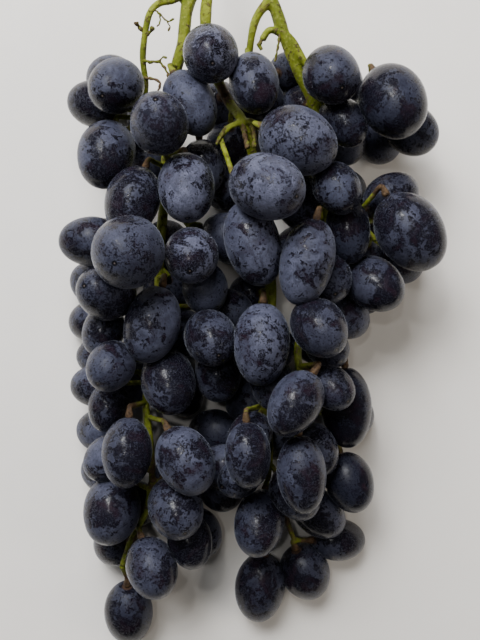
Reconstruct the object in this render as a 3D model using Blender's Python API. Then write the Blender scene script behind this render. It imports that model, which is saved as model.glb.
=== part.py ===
# A bunch of dark table grapes, laid down on a flat surface with its stem end away from the viewer.
# X runs across the bunch, Y from its tip to its cut stem, and Z up from the surface.
# The lengths below are millimetres and the model is built in metres.

import math

import bmesh
import bpy
import numpy as np
from mathutils import Matrix, Vector

METRE = 0.001

# Where a berry lies follows from where it is seen. At SIGHT_PLANE above the surface one pixel of the
# photograph is PIXEL_WIDTH wide, and what lies higher is nearer to the eye and looks bigger.
PIXEL_WIDTH = 0.35
SIGHT_PLANE = 35.0
EYE_HEIGHT = 335.0
MIDDLE_COLUMN = 240.0
MIDDLE_ROW = 320.0

# The middle of the whole bunch, measured from the point under the eye
BUNCH_MIDDLE_X = 3.39
BUNCH_MIDDLE_Y = 12.74

# How closely the pieces lie: berries of one group press into each other, all others keep a gap
PRESSED = 1.0
GAP = 0.35
FLATTENED = 0.9
BERRY_FACETS_SWELL = 1.025
NEARLY_TOUCHING = 1.0

# The settling: how many turns there are, and in how many of them the berries sink under their
# weight, the ones in front held up by their stalks, and the ones behind turn their stalk ends to the
# stem. FASTEST is the furthest move in one turn. A seen berry above FRONT_HEIGHT lies in front.
TURNS = 1200
SINKING_TURNS = 500
REGROUPING = 100
SINKING = 0.1
LIFTING = 0.012
TURNING = 0.02
FASTEST = 1.0
FRONT_HEIGHT = 30.0

# How readily a berry gives way and how strongly it is drawn to where it is seen: a berry in front,
# another seen one and a hidden one
EASE = (0.3, 0.8, 1.5)
HOLD = (0.25, 0.20, 0.04)

# The share of the way that one turn takes: two berries apart, a berry off an arm or off a stalk, a
# stalk off a berry, a stalk back into line, and a berry back to where it lay. That last pull fades out
# by FADED of the later turns. A berry that holds a group together is pressed in by HELD more.
PARTING = 0.6
OFF_ARMS = 0.7
OFF_STALKS = 0.3
STALK_YIELDING = 0.7
STRAIGHTENING = 0.3
RETURNING = 0.1
FADED = 0.8
HELD = 0.05

# The decimals that each turn keeps, so that the last digits of a sum never change where berries end
ROUNDED_TO = 4

# A berry's stalk: its radius, the flare where it meets the berry, and its straight end
STALK_RADIUS = 0.95
STALK_FLARE = 1.5
STALK_STRAIGHT = 3.0
STALK_ROOTING = 0.4
STALK_SIDES = 3
BEND = 0.35

# The berries that hide behind the others
HIDDEN_WIDTH = 18.0
HIDDEN_LENGTH = 21.5
HIDDEN_SPACING = 17.0
PEEKING = 2.0
HIDDEN_HEIGHTS = (9.0, 25.0)
HIDDEN_TRIES = 3200
HIDDEN_SIZES = (0.95, 1.05)
HIDDEN_ARM_ROOM = 2.0
HIDDEN_DROOP = 0.5
RIM_POINTS = 12
SEED = 7

# The berries by group, each group round its own side branch. A row holds the column and row where the
# berry's middle is seen, its height above the surface (0 where it lies on the surface), its width and
# length, the heading of its far end, in degrees from X to Y, and how far that end lifts towards the
# eye, in degrees.
GROUPS = {
    "left_shoulder": [
        (117, 86, 42, 18.8, 23.0, -120, 55),
        (96, 105, 24, 17.5, 21.0, -150, 10),
        (106, 154, 42, 20.5, 26.0, -101, 25),
        (161, 125, 52, 19.8, 23.5, 95, 62),
        (189, 105, 40, 17.5, 25.0, -62, 10),
        (150, 165, 0, 17.0, 20.5, -100, 0),
    ],
    "middle_shoulder": [
        (214, 55, 46, 19.2, 23.0, -80, 58),
        (251, 81, 40, 17.0, 23.0, -80, 25),
        (268, 95, 25, 17.5, 22.5, -70, 0),
        (285, 79, 0, 15.0, 17.5, 80, 0),
        (216, 105, 0, 17.0, 20.0, -90, 0),
        (300, 106, 0, 16.5, 20.0, -80, 0),
    ],
    "right_shoulder": [
        (395, 102, 45, 22.8, 28.0, -65, 25),
        (404, 129, 25, 18.0, 21.0, -60, 0),
        (373, 142, 0, 17.5, 20.0, -80, 0),
        (350, 138, 27, 17.0, 20.0, -75, 0),
        (343, 125, 43, 15.5, 20.5, -57, 25),
        (331, 73, 45, 19.0, 23.5, -70, 52),
    ],
    "heart": [
        (188, 190, 50, 19.8, 25.5, -86, 28),
        (264, 186, 52, 21.8, 28.0, -27, 45),
        (299, 146, 50, 22.4, 28.0, -28, 22),
        (203, 165, 32, 16.5, 20.0, -80, 0),
        (228, 150, 0, 17.0, 20.0, -110, 0),
        (229, 186, 0, 17.0, 20.0, -90, 0),
        (250, 244, 48, 18.8, 30.0, -74, 5),
        (236, 241, 30, 17.5, 24.0, -70, 0),
        (192, 254, 46, 18.6, 22.5, -90, 58),
        (201, 292, 36, 16.0, 19.5, -85, 25),
    ],
    "left_middle": [
        (138, 205, 43, 18.8, 25.5, -108, 15),
        (91, 241, 31, 17.8, 23.0, 182, 0),
        (130, 275, 52, 24.0, 27.5, -120, 68),
        (113, 292, 30, 18.5, 24.5, -108, 0),
        (152, 329, 46, 19.3, 27.5, -104, 8),
        (90, 292, 0, 15.5, 18.0, 172, 0),
        (92, 322, 0, 15.5, 19.0, -120, 0),
        (112, 332, 32, 15.0, 19.0, -110, 15),
        (112, 366, 42, 16.0, 20.0, -120, 48),
        (96, 351, 21, 14.5, 17.5, 190, 0),
    ],
    "left_waist": [
        (99, 382, 24, 15.5, 20.0, -112, 0),
        (112, 403, 35, 14.5, 18.5, -100, 10),
        (100, 427, 20, 16.5, 20.0, -120, 0),
        (166, 386, 45, 19.0, 24.5, -80, 28),
        (183, 394, 30, 17.0, 24.0, -78, 0),
        (126, 451, 45, 17.4, 24.5, -92, 14),
        (95, 464, 20, 17.0, 20.0, -150, 0),
        (109, 461, 31, 15.5, 18.5, -135, 0),
        (185, 463, 46, 19.4, 25.0, -58, 20),
    ],
    "middle_waist": [
        (212, 341, 48, 18.0, 23.0, -62, 55),
        (218, 374, 35, 16.5, 20.5, -85, 12),
        (226, 312, 26, 16.0, 20.0, -60, 0),
        (243, 300, 0, 16.0, 19.5, -60, 0),
        (213, 428, 0, 17.0, 21.0, -95, 0),
        (237, 405, 0, 16.5, 20.0, -80, 0),
        (267, 354, 48, 19.4, 28.5, -92, 5),
        (267, 382, 24, 16.5, 20.5, -85, 0),
    ],
    "right_middle": [
        (302, 274, 44, 18.0, 29.5, -103, 0),
        (293, 214, 36, 16.0, 22.0, -85, 18),
        (307, 208, 25, 16.5, 21.0, -80, 0),
        (337, 192, 39, 16.0, 20.0, -60, 28),
        (344, 234, 36, 15.6, 23.5, -85, 0),
        (377, 286, 37, 19.0, 24.0, -38, 38),
        (362, 292, 0, 16.0, 19.0, -60, 0),
        (408, 231, 40, 22.6, 30.0, -58, 4),
        (388, 204, 22, 17.0, 21.0, -40, 0),
        (404, 262, 0, 17.0, 20.5, -45, 0),
        (369, 214, 0, 16.5, 20.0, -60, 0),
        (351, 193, 0, 16.5, 20.5, -60, 0),
        (358, 250, 0, 16.5, 20.0, -80, 0),
    ],
    "right_waist": [
        (322, 274, 24, 17.0, 20.5, -70, 0),
        (318, 338, 43, 18.2, 23.0, -55, 38),
        (343, 315, 25, 17.0, 20.5, -60, 0),
        (312, 362, 28, 15.0, 18.0, -70, 0),
        (325, 381, 41, 14.6, 18.5, -40, 45),
        (346, 409, 31, 17.8, 28.5, -88, 0),
        (286, 403, 45, 17.0, 24.0, -123, 15),
        (315, 443, 35, 14.2, 19.5, -69, 5),
        (351, 483, 31, 17.6, 23.0, -72, 0),
    ],
    "left_tail": [
        (116, 514, 34, 20.8, 25.0, -100, 24),
        (177, 507, 35, 19.4, 24.0, -60, 48),
        (200, 530, 0, 16.8, 22.5, -85, 0),
        (184, 532, 20, 16.0, 20.5, -90, 0),
        (153, 562, 25, 17.8, 22.5, -80, 12),
        (141, 568, 0, 17.0, 20.0, -95, 0),
        (123, 525, 0, 17.0, 21.0, -110, 0),
        (125, 619, 0, 18.8, 25.5, -92, 0),
    ],
    "tail": [
        (248, 454, 39, 15.5, 22.5, -88, 4),
        (256, 436, 24, 15.5, 21.0, -80, 0),
        (236, 478, 26, 13.8, 16.5, -90, 0),
        (222, 462, 0, 17.0, 20.0, -80, 0),
        (226, 489, 0, 16.5, 18.0, -80, 0),
        (299, 479, 40, 16.6, 26.5, -86, 4),
        (290, 490, 29, 16.0, 22.0, -88, 0),
        (313, 517, 27, 16.8, 22.0, -75, 0),
        (338, 538, 0, 16.0, 22.0, -70, 0),
        (264, 518, 24, 18.2, 25.5, -94, 0),
        (257, 588, 0, 19.2, 27.5, -90, 0),
        (308, 571, 11, 18.6, 23.0, -62, 8),
    ],
}

# The stem. An arm is a run of points, each with the column and row where it is seen and its height
# above the surface, and its radius at the first and the last point.
ARMS = {
    "peduncle": ([(210, -96, 30), (214, -68, 31), (220, -38, 33)], 3.1, 3.4),
    "left_arm": (
        [(217, -54, 32), (200, -18, 34), (188, 5, 34), (183, 42, 32), (174, 80, 28), (168, 130, 25),
         (165, 190, 24), (161, 240, 24), (158, 300, 23), (152, 360, 23), (146, 402, 27), (150, 440, 25),
         (152, 480, 22), (146, 512, 20), (131, 540, 20), (122, 566, 19)], 2.6, 1.1),
    "middle_arm": (
        [(218, -48, 32.5), (209, -12, 35), (206, 28, 33), (214, 70, 28), (230, 103, 27), (243, 122, 31),
         (254, 160, 26), (262, 215, 24), (272, 282, 24), (271, 314, 25), (264, 360, 22), (264, 410, 22),
         (270, 442, 23), (268, 482, 18), (266, 520, 15)], 2.3, 1.2),
    "right_arm": (
        [(218, -51, 32), (248, -22, 34), (271, 0, 35), (284, 35, 34), (296, 66, 31), (312, 100, 27),
         (320, 130, 24), (323, 175, 23), (324, 220, 23), (314, 262, 22), (303, 320, 23), (298, 360, 25),
         (312, 402, 25), (300, 437, 23), (288, 482, 20), (286, 515, 18), (294, 540, 15)], 2.6, 1.1),
    "shoulder_branch": (
        [(200, -18, 34), (176, -1, 35), (160, 3, 36), (150, 13, 36), (145, 35, 34), (143, 60, 31),
         (146, 88, 27), (140, 118, 25)], 1.5, 1.1),
    "inner_branch": (
        [(271, 0, 35), (261, 10, 36), (254, 24, 36), (250, 46, 34), (248, 70, 30), (250, 92, 28)],
        1.8, 1.1),
    "outer_prong": ([(284, 35, 34), (294, 44, 34), (306, 64, 33), (322, 80, 30)], 1.7, 1.1),
    "outer_branch": (
        [(312, 100, 27), (338, 112, 25), (362, 114, 24), (384, 108, 24)], 1.5, 1.1),
    "cross_branch": ([(183, 42, 32), (198, 38, 33), (212, 46, 32)], 1.1, 1.0),
    "stub_branch": ([(284, 35, 34), (270, 30, 35), (262, 40, 34)], 1.2, 1.4),
    "fork_left": ([(243, 122, 31), (230, 127, 33), (220, 137, 34)], 1.2, 1.1),
    "fork_right": ([(243, 122, 31), (252, 122, 34), (259, 128, 35)], 1.2, 1.1),
    "right_middle_branch": (
        [(323, 175, 23), (340, 206, 25), (358, 222, 26), (376, 240, 26)], 1.5, 1.1),
    "left_middle_branch": ([(158, 300, 23), (142, 300, 25), (124, 312, 25)], 1.4, 1.1),
    "heart_branch": ([(165, 190, 24), (180, 214, 26), (194, 232, 27)], 1.4, 1.1),
    "waist_branch": ([(272, 282, 24), (254, 318, 27), (238, 344, 28)], 1.4, 1.1),
    "left_tail_branch": ([(152, 480, 22), (168, 492, 22), (184, 500, 21)], 1.3, 1.1),
}
ARM_STEP = 12.0
ARM_SIDES = 6

GRAPE_COLOUR = (0.035, 0.038, 0.065, 1.0)
GRAPE_ROUGHNESS = 0.55
STEM_COLOUR = (0.30, 0.36, 0.09, 1.0)
STEM_ROUGHNESS = 0.6

# The slab that cuts the flat spots, in metres
SLAB_ACROSS = 0.4
SLAB_ALONG = 0.6
SLAB_THICK = 0.02


def seen_at(column, row, height):
    """The place in millimetres of what is seen at this column and row, at this height."""
    scale = PIXEL_WIDTH * (EYE_HEIGHT - height) / (EYE_HEIGHT - SIGHT_PLANE)
    return np.array(((column - MIDDLE_COLUMN) * scale, (MIDDLE_ROW - row) * scale, height)).T


def pointing(heading, lift):
    """The unit vector with this heading and lift, both in degrees."""
    turn = math.radians(heading)
    rise = math.radians(lift)
    return np.array((math.cos(rise) * math.cos(turn), math.cos(rise) * math.sin(turn), math.sin(rise)))


def smooth_run(points, step):
    """Points about a step apart on a smooth curve through the given points."""
    points = np.array(points)
    padded = np.vstack((2 * points[0] - points[1], points, 2 * points[-1] - points[-2]))
    run = [points[0]]
    for k in range(len(points) - 1):
        before, start, end, after = padded[k:k + 4]
        count = max(1, round(np.linalg.norm(end - start) / step))
        for t in (np.arange(count) + 1) / count:
            run.append(0.5 * (2 * start + (end - before) * t
                              + (2 * before - 5 * start + 4 * end - after) * t ** 2
                              + (3 * start - before - 3 * end + after) * t ** 3))
    return np.array(run)


def arm_runs():
    """Each arm's smooth run of points and the radius at each of them."""
    runs = {}
    for name, (points, first, last) in ARMS.items():
        run = smooth_run([seen_at(*point) for point in points], ARM_STEP)
        runs[name] = (run, np.linspace(first, last, len(run)))
    return runs


class Berries:
    """All berries as arrays: middles, half widths, half lengths, axes to the far end, groups."""

    def __init__(self):
        rows = [(group, row) for group in GROUPS for row in GROUPS[group]]
        self.names = list(GROUPS)
        self.middle = np.array([seen_at(row[0], row[1], row[2] or row[3] / 2) for group, row in rows])
        self.pixel = np.array([row[:2] for group, row in rows])
        self.resting = np.array([row[2] == 0 for group, row in rows])
        self.across = np.array([row[3] / 2 for group, row in rows])
        self.along = np.array([row[4] / 2 for group, row in rows])
        self.axis = np.array([pointing(row[5], row[6]) for group, row in rows])
        self.group = np.array([self.names.index(group) for group, row in rows])
        self.seen = len(rows)

    def add(self, middle, axis, across, along, group, resting):
        self.middle = np.vstack((self.middle, middle))
        self.resting = np.append(self.resting, resting)
        self.axis = np.vstack((self.axis, axis))
        self.across = np.append(self.across, across)
        self.along = np.append(self.along, along)
        self.group = np.append(self.group, group)

    def radius(self, slant):
        """Middle to surface, where slant is the cosine to the axis, berries in the last place."""
        return 1 / np.sqrt((1 - slant ** 2) / self.across ** 2 + slant ** 2 / self.along ** 2)

    def support(self, slant):
        """Middle to the tangent plane square to a direction with this slant."""
        return np.sqrt(self.across ** 2 + (self.along ** 2 - self.across ** 2) * slant ** 2)

    def height_below(self):
        return self.support(self.axis[:, 2])

    def stalk_end(self):
        reach = self.along * BERRY_FACETS_SWELL + GAP
        return self.middle - self.axis * reach[:, None]


def nearest_on_segments(places, starts, ends):
    """For each place and each segment, the share along it and the offset from it to the place."""
    span = ends - starts
    offset = places[:, None] - starts[None]
    share = np.einsum("ijk,jk->ij", offset, span) / np.einsum("jk,jk->j", span, span)
    share = np.clip(share, 0, 1)
    return share, offset - share[..., None] * span[None]


def add_hidden(berries, starts, ends):
    """Fill the room behind the seen berries, by seeded tries. The upper ones hide behind the berries
    in front, and the lowest may peek out a little between the others."""
    chance = np.random.default_rng(SEED)
    low = berries.middle.min(axis=0)
    high = berries.middle.max(axis=0)
    rim = np.linspace(0, 2 * math.pi, RIM_POINTS, endpoint=False)
    in_front = berries.middle[:, 2] > FRONT_HEIGHT
    nearness = EYE_HEIGHT / (EYE_HEIGHT - berries.middle[:, 2])
    covers_at = berries.middle[:, :2] * nearness[:, None]
    lowest_covers = berries.across * nearness + PEEKING
    upper_covers = np.where(in_front, berries.across * nearness, 0)
    for attempt in range(HIDDEN_TRIES):
        place = chance.uniform(low, high)
        level = attempt % len(HIDDEN_HEIGHTS)
        place[2] = HIDDEN_HEIGHTS[level]
        size = chance.uniform(*HIDDEN_SIZES)
        if np.linalg.norm(berries.middle - place, axis=1).min() < HIDDEN_SPACING:
            continue
        share, offset = nearest_on_segments(place[None], starts, ends)
        distance = np.linalg.norm(offset[0], axis=1)
        if distance.min() < HIDDEN_WIDTH / 2 + HIDDEN_ARM_ROOM:
            continue
        toward_eye = EYE_HEIGHT / (EYE_HEIGHT - place[2])
        across = np.stack((np.cos(rim), np.sin(rim)), axis=1) * HIDDEN_WIDTH / 2
        outline = (place[:2] + across) * toward_eye
        apart = np.linalg.norm(outline[:, None] - covers_at[None], axis=2)
        if not (apart < (upper_covers if level else lowest_covers)).any(axis=1).all():
            continue
        away = offset[0, distance.argmin()] / distance.min()
        away = away + (0, -HIDDEN_DROOP, 0)
        if level == 0:
            away[2] = 0
        nearest = np.linalg.norm(berries.middle[:berries.seen] - place, axis=1).argmin()
        berries.add(place, away / np.linalg.norm(away), size * HIDDEN_WIDTH / 2,
                    size * HIDDEN_LENGTH / 2, berries.group[nearest], level == 0)


def between(berries):
    """For each two berries: the direction and distance from the first to the second, the distance at
    which they press into each other, and the one at which they keep a gap."""
    offset = berries.middle[None] - berries.middle[:, None]
    distance = np.linalg.norm(offset, axis=2) + np.eye(len(offset))
    unit = offset / distance[..., None]
    own = np.einsum("ijk,ik->ij", unit, berries.axis)
    other = np.einsum("ijk,jk->ij", unit, berries.axis)
    touching = berries.radius(other) + berries.radius(own.T).T - PRESSED
    apart = (berries.support(other) + berries.support(own.T).T) * BERRY_FACETS_SWELL + GAP
    return unit, distance, touching, apart


def clumps(members, space):
    """The members in clumps whose neighbours nearly touch, the biggest clump first."""
    waiting = set(members)
    found = []
    while waiting:
        clump = [waiting.pop()]
        for k in clump:
            near = [other for other in sorted(waiting) if space[k, other] < NEARLY_TOUCHING]
            clump.extend(near)
            waiting.difference_update(near)
        found.append(clump)
    return sorted(found, key=len, reverse=True)


def regroup(berries):
    """Give each clump that lies away from its group to the group that it lies closest to."""
    unit, distance, touching, apart = between(berries)
    space = distance - touching
    for turn in range(20):
        for number in range(len(berries.names)):
            members = np.flatnonzero(berries.group == number)
            for clump in clumps(members, space)[1:]:
                others = np.setdiff1d(np.arange(len(berries.group)), clump)
                closest = space[np.ix_(clump, others)].min(axis=0).argmin()
                berries.group[clump] = berries.group[others[closest]]


def holding_pairs(berries):
    """The shortest tree of neighbours that holds each group together."""
    unit, distance, touching, apart = between(berries)
    space = distance - touching
    pairs = []
    for number in range(len(berries.names)):
        waiting = list(np.flatnonzero(berries.group == number))
        joined = [waiting.pop(0)]
        while waiting:
            row, column = divmod(space[np.ix_(waiting, joined)].argmin(), len(joined))
            pairs.append((joined[column], waiting[row]))
            joined.append(waiting.pop(row))
    return np.array(pairs).T


def push_berries(berries, ease, pairs):
    """Part the berries that are too close, those with most ease furthest, and draw the pairs that
    hold a group together until they press into each other."""
    unit, distance, touching, apart = between(berries)
    if pairs is None:
        short = touching - distance
    else:
        same = berries.group[:, None] == berries.group[None]
        short = np.where(same, touching, apart) - distance
    pull = np.zeros_like(short)
    if pairs is not None:
        excess = np.maximum(distance - touching + HELD, 0)[pairs[0], pairs[1]]
        pull[pairs[0], pairs[1]] = excess
        pull[pairs[1], pairs[0]] = excess
    np.fill_diagonal(short, 0)
    short = np.maximum(short, 0) - pull
    give = ease[:, None] / (ease[:, None] + ease[None])
    move = -PARTING * np.einsum("ij,ijk->ik", short * give, unit)
    berries.middle += np.clip(move, -FASTEST, FASTEST)
    return short.max(), pull.max()


def push_from_segments(berries, starts, ends, radii, skip=None):
    """How far each berry and each segment have to part, and which way."""
    share, offset = nearest_on_segments(berries.middle, starts, ends)
    distance = np.linalg.norm(offset, axis=2)
    unit = offset / distance[..., None]
    slant = np.einsum("ijk,ik->ij", unit, berries.axis)
    reach = (berries.support(slant.T) * BERRY_FACETS_SWELL).T + radii[None] + GAP
    short = np.maximum(reach - distance, 0)
    if skip is not None:
        short[skip] = 0
    return share, short, unit


def settle(berries, runs):
    """Let the berries and stalks find their places: near where they are seen, resting on the
    surface, clear of the stem, each group holding together. Returns each stalk's points."""
    starts = np.vstack([run[:-1] for run, radii in runs.values()])
    ends = np.vstack([run[1:] for run, radii in runs.values()])
    radii = np.concatenate([np.maximum(radii[:-1], radii[1:]) for run, radii in runs.values()])
    add_hidden(berries, starts, ends)
    lowest = berries.height_below() - FLATTENED
    berries.middle[berries.resting, 2] = lowest[berries.resting]
    target = berries.middle.copy()
    count = len(target)
    seen = np.arange(count) < berries.seen
    front = seen & (target[:, 2] > FRONT_HEIGHT)
    ease = np.select((front, seen), EASE[:2], EASE[2])
    hold = np.select((front, seen), HOLD[:2], HOLD[2])[:, None]
    own = np.arange(count)
    pairs = None
    for turn in range(TURNS):
        if turn < SINKING_TURNS:
            target[seen, :2] = seen_at(*berries.pixel.T, berries.middle[seen, 2])[:, :2]
            berries.middle[:, :2] += hold * (target - berries.middle)[:, :2]
            berries.middle[:, 2] -= SINKING
            berries.middle[front, 2] += LIFTING * (target - berries.middle)[front, 2]
        else:
            loose = max(0.0, 1 - (turn - SINKING_TURNS) / (FADED * (TURNS - SINKING_TURNS)))
            if turn % REGROUPING == 0 and loose:
                regroup(berries)
                pairs = holding_pairs(berries)
            berries.middle += RETURNING * loose * (rest - berries.middle)
        push_berries(berries, ease, pairs)
        share, short, unit = push_from_segments(berries, starts, ends, radii)
        berries.middle += OFF_ARMS * np.einsum("ij,ijk->ik", short, unit)

        tip = berries.stalk_end()
        neck = tip - berries.axis * STALK_STRAIGHT
        if turn < SINKING_TURNS:
            share, offset = nearest_on_segments(neck, starts, ends)
            nearest = np.linalg.norm(offset, axis=2).argmin(axis=1)
            root = neck - offset[own, nearest]
            outward = berries.middle - root
            outward /= np.linalg.norm(outward, axis=1)[:, None]
            berries.axis[~front] += TURNING * (outward - berries.axis)[~front]
            berries.axis /= np.linalg.norm(berries.axis, axis=1)[:, None]
        if turn == 0:
            bends = np.stack((root + (neck - root) / 3, root + (neck - root) * 2 / 3), axis=1)
        bends[:, 0] += STRAIGHTENING * ((root + bends[:, 1]) / 2 - bends[:, 0])
        bends[:, 1] += STRAIGHTENING * ((bends[:, 0] + neck) / 2 - bends[:, 1])
        chain = np.stack((root, bends[:, 0], bends[:, 1], neck, tip), axis=1)
        stalk_radii = np.full(count * 4, STALK_RADIUS)
        stalk_radii[3::4] = STALK_FLARE
        skip = (own, own * 4 + 3)
        share, short, unit = push_from_segments(
            berries, chain[:, :-1].reshape(-1, 3), chain[:, 1:].reshape(-1, 3), stalk_radii, skip)
        berries.middle += OFF_STALKS * np.einsum("ij,ijk->ik", short, unit)
        away = -(short[..., None] * unit)
        first = (away * (1 - share)[..., None]).sum(axis=0).reshape(count, 4, 3)
        last = (away * share[..., None]).sum(axis=0).reshape(count, 4, 3)
        bends[:, 0] += STALK_YIELDING * (first[:, 1] + last[:, 0])
        bends[:, 1] += STALK_YIELDING * (first[:, 2] + last[:, 1])
        bends[:, :, 2] = np.maximum(bends[:, :, 2], STALK_RADIUS + GAP)

        lowest = berries.height_below() - FLATTENED
        berries.middle[:, 2] = np.maximum(berries.middle[:, 2], lowest)
        berries.middle = np.round(berries.middle, ROUNDED_TO)
        berries.axis = np.round(berries.axis, ROUNDED_TO)
        bends = np.round(bends, ROUNDED_TO)
        if turn < SINKING_TURNS:
            rest = berries.middle.copy()
            rest[seen, :2] = target[seen, :2]
    return chain


def new_object(name, mesh, collection, colour=None, roughness=None):
    """An object in the collection, with its own material when it has a colour."""
    thing = bpy.data.objects.new(name, mesh)
    collection.objects.link(thing)
    if colour is not None:
        material = bpy.data.materials.new(name)
        material.use_nodes = True
        shader = material.node_tree.nodes["Principled BSDF"]
        shader.inputs["Base Color"].default_value = colour
        shader.inputs["Roughness"].default_value = roughness
        mesh.materials.append(material)
    return thing


def berry_mesh(name, middle, axis, across, along):
    """One faceted berry, its poles at the stalk and at the far end."""
    turn = Vector(axis).to_track_quat("Z", "Y").to_matrix().to_4x4()
    size = Matrix.Diagonal(Vector((across, across, along)) * METRE * BERRY_FACETS_SWELL).to_4x4()
    place = Matrix.Translation(Vector(middle) * METRE)
    shape = bmesh.new()
    bmesh.ops.create_icosphere(shape, subdivisions=2, radius=1.0, matrix=place @ turn @ size)
    mesh = bpy.data.meshes.new(name)
    shape.to_mesh(mesh)
    shape.free()
    return mesh


def tube_mesh(name, points, radii, sides):
    """A closed tube with a few flat sides through the points."""
    points = [Vector(point) for point in points]
    shape = bmesh.new()
    rings = []
    side = (points[1] - points[0]).orthogonal()
    for k, radius in enumerate(radii):
        ahead = (points[min(k + 1, len(points) - 1)] - points[max(k - 1, 0)]).normalized()
        side = (side - ahead * side.dot(ahead)).normalized()
        other = ahead.cross(side)
        ring = []
        for corner in range(sides):
            turn = 2 * math.pi * corner / sides
            place = points[k] + (side * math.cos(turn) + other * math.sin(turn)) * radius
            ring.append(shape.verts.new(place * METRE))
        rings.append(ring)
    for near, far in zip(rings, rings[1:]):
        for corner in range(sides):
            after = (corner + 1) % sides
            shape.faces.new((near[corner], near[after], far[after], far[corner]))
    shape.faces.new(rings[0])
    shape.faces.new(rings[-1])
    bmesh.ops.recalc_face_normals(shape, faces=shape.faces)
    mesh = bpy.data.meshes.new(name)
    shape.to_mesh(mesh)
    shape.free()
    return mesh


def join_as_one(thing, meshes, solver, scratch, cutter=None):
    """Fuse the meshes with the object into one body, and cut it where it lies on the surface."""
    for mesh in meshes:
        new_object(mesh.name, mesh, scratch)
    union = thing.modifiers.new("fuse", "BOOLEAN")
    union.operation = "UNION"
    union.solver = solver
    union.operand_type = "COLLECTION"
    union.collection = scratch
    if cutter is not None:
        cut = thing.modifiers.new("flat_spots", "BOOLEAN")
        cut.operation = "DIFFERENCE"
        cut.object = cutter
    bpy.context.view_layer.update()
    evaluated = thing.evaluated_get(bpy.context.evaluated_depsgraph_get())
    fused = bpy.data.meshes.new_from_object(evaluated)
    thing.modifiers.clear()
    fused.materials.clear()
    for material in thing.data.materials:
        fused.materials.append(material)
    fused.name = thing.name
    thing.data = fused
    for piece in list(scratch.objects):
        bpy.data.objects.remove(piece)


def make_berry_group(berries, number, collection, scratch, cutter):
    """One group's berries as a single body, pressed into each other where they touch."""
    name = berries.names[number] + "_berries"
    meshes = []
    for k in np.flatnonzero(berries.group == number):
        meshes.append(berry_mesh("berry", berries.middle[k], berries.axis[k],
                                 berries.across[k], berries.along[k]))
    group = new_object(name, meshes[0], collection, GRAPE_COLOUR, GRAPE_ROUGHNESS)
    join_as_one(group, meshes[1:], "EXACT", scratch, cutter)


def bent_points(points):
    """The points between a stalk's ends, without those that lie nearly on the straight line from the
    last one kept to the next."""
    kept = points[0]
    for k in (1, 2, 3):
        before, after = points[k] - kept, points[k + 1] - points[k]
        if np.linalg.norm(np.cross(before, after)) > BEND * np.linalg.norm(before + after):
            kept = points[k]
            yield kept


def keep_outer_surface(mesh):
    """Make a pocket solid that is closed in all round, as between two arms and a stalk."""
    shape = bmesh.new()
    shape.from_mesh(mesh)
    enclosed = set(shape.verts)
    outer = [max(enclosed, key=lambda corner: corner.co.y)]
    enclosed.remove(outer[0])
    for corner in outer:
        near = enclosed & {edge.other_vert(corner) for edge in corner.link_edges}
        outer.extend(near)
        enclosed -= near
    bmesh.ops.delete(shape, geom=list(enclosed), context="VERTS")
    shape.to_mesh(mesh)
    shape.free()


def make_stem(chain, runs, collection, scratch):
    """The peduncle, the arms and every berry's stalk as a single body."""
    meshes = []
    for name, (run, radii) in runs.items():
        meshes.append(tube_mesh(name, run, radii, ARM_SIDES))
    for points in chain:
        onward = points[1] - points[0]
        rooted = points[0] - onward / np.linalg.norm(onward) * STALK_ROOTING
        points = [rooted, *bent_points(points), points[-1]]
        radii = [STALK_RADIUS] * (len(points) - 1) + [STALK_FLARE]
        meshes.append(tube_mesh("stalk", points, radii, STALK_SIDES))
    stem = new_object("stem", meshes[0], collection, STEM_COLOUR, STEM_ROUGHNESS)
    join_as_one(stem, meshes[1:], "MANIFOLD", scratch)
    keep_outer_surface(stem.data)


def make_surface_cutter(collection):
    """A slab whose top is the surface, for the flat spots of the lowest berries."""
    shape = bmesh.new()
    bmesh.ops.create_cube(shape, size=1.0)
    bmesh.ops.scale(shape, verts=shape.verts, vec=(SLAB_ACROSS, SLAB_ALONG, SLAB_THICK))
    bmesh.ops.translate(shape, verts=shape.verts, vec=(0, 0, -SLAB_THICK / 2))
    mesh = bpy.data.meshes.new("surface_cutter")
    shape.to_mesh(mesh)
    shape.free()
    cutter = new_object("surface_cutter", mesh, collection)
    cutter.hide_render = True
    cutter.display_type = "WIRE"
    return cutter


def main():
    for thing in list(bpy.data.objects):
        bpy.data.objects.remove(thing)
    scene = bpy.context.scene.collection
    bunch = bpy.data.collections.new("grape_bunch")
    cutters = bpy.data.collections.new("cutters")
    scratch = bpy.data.collections.new("scratch")
    for collection in (bunch, cutters, scratch):
        scene.children.link(collection)
    berries = Berries()
    runs = arm_runs()
    chain = settle(berries, runs)
    cutter = make_surface_cutter(cutters)
    for number in range(len(berries.names)):
        make_berry_group(berries, number, bunch, scratch, cutter)
    make_stem(chain, runs, bunch, scratch)

    # The point under the eye was the origin so far, now it is the middle of the bunch
    to_middle = Matrix.Translation(Vector((-BUNCH_MIDDLE_X, -BUNCH_MIDDLE_Y, 0.0)) * METRE)
    for node in bunch.objects:
        node.data.transform(to_middle)


main()
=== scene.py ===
# A bunch of dark table grapes, laid on a pale surface and seen from above, its stem end up in the view.
# The lengths in this file are millimetres, and place() turns them into the frame's metres.

import math

import bmesh
import bpy
import numpy as np
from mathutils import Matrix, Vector, kdtree


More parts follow.
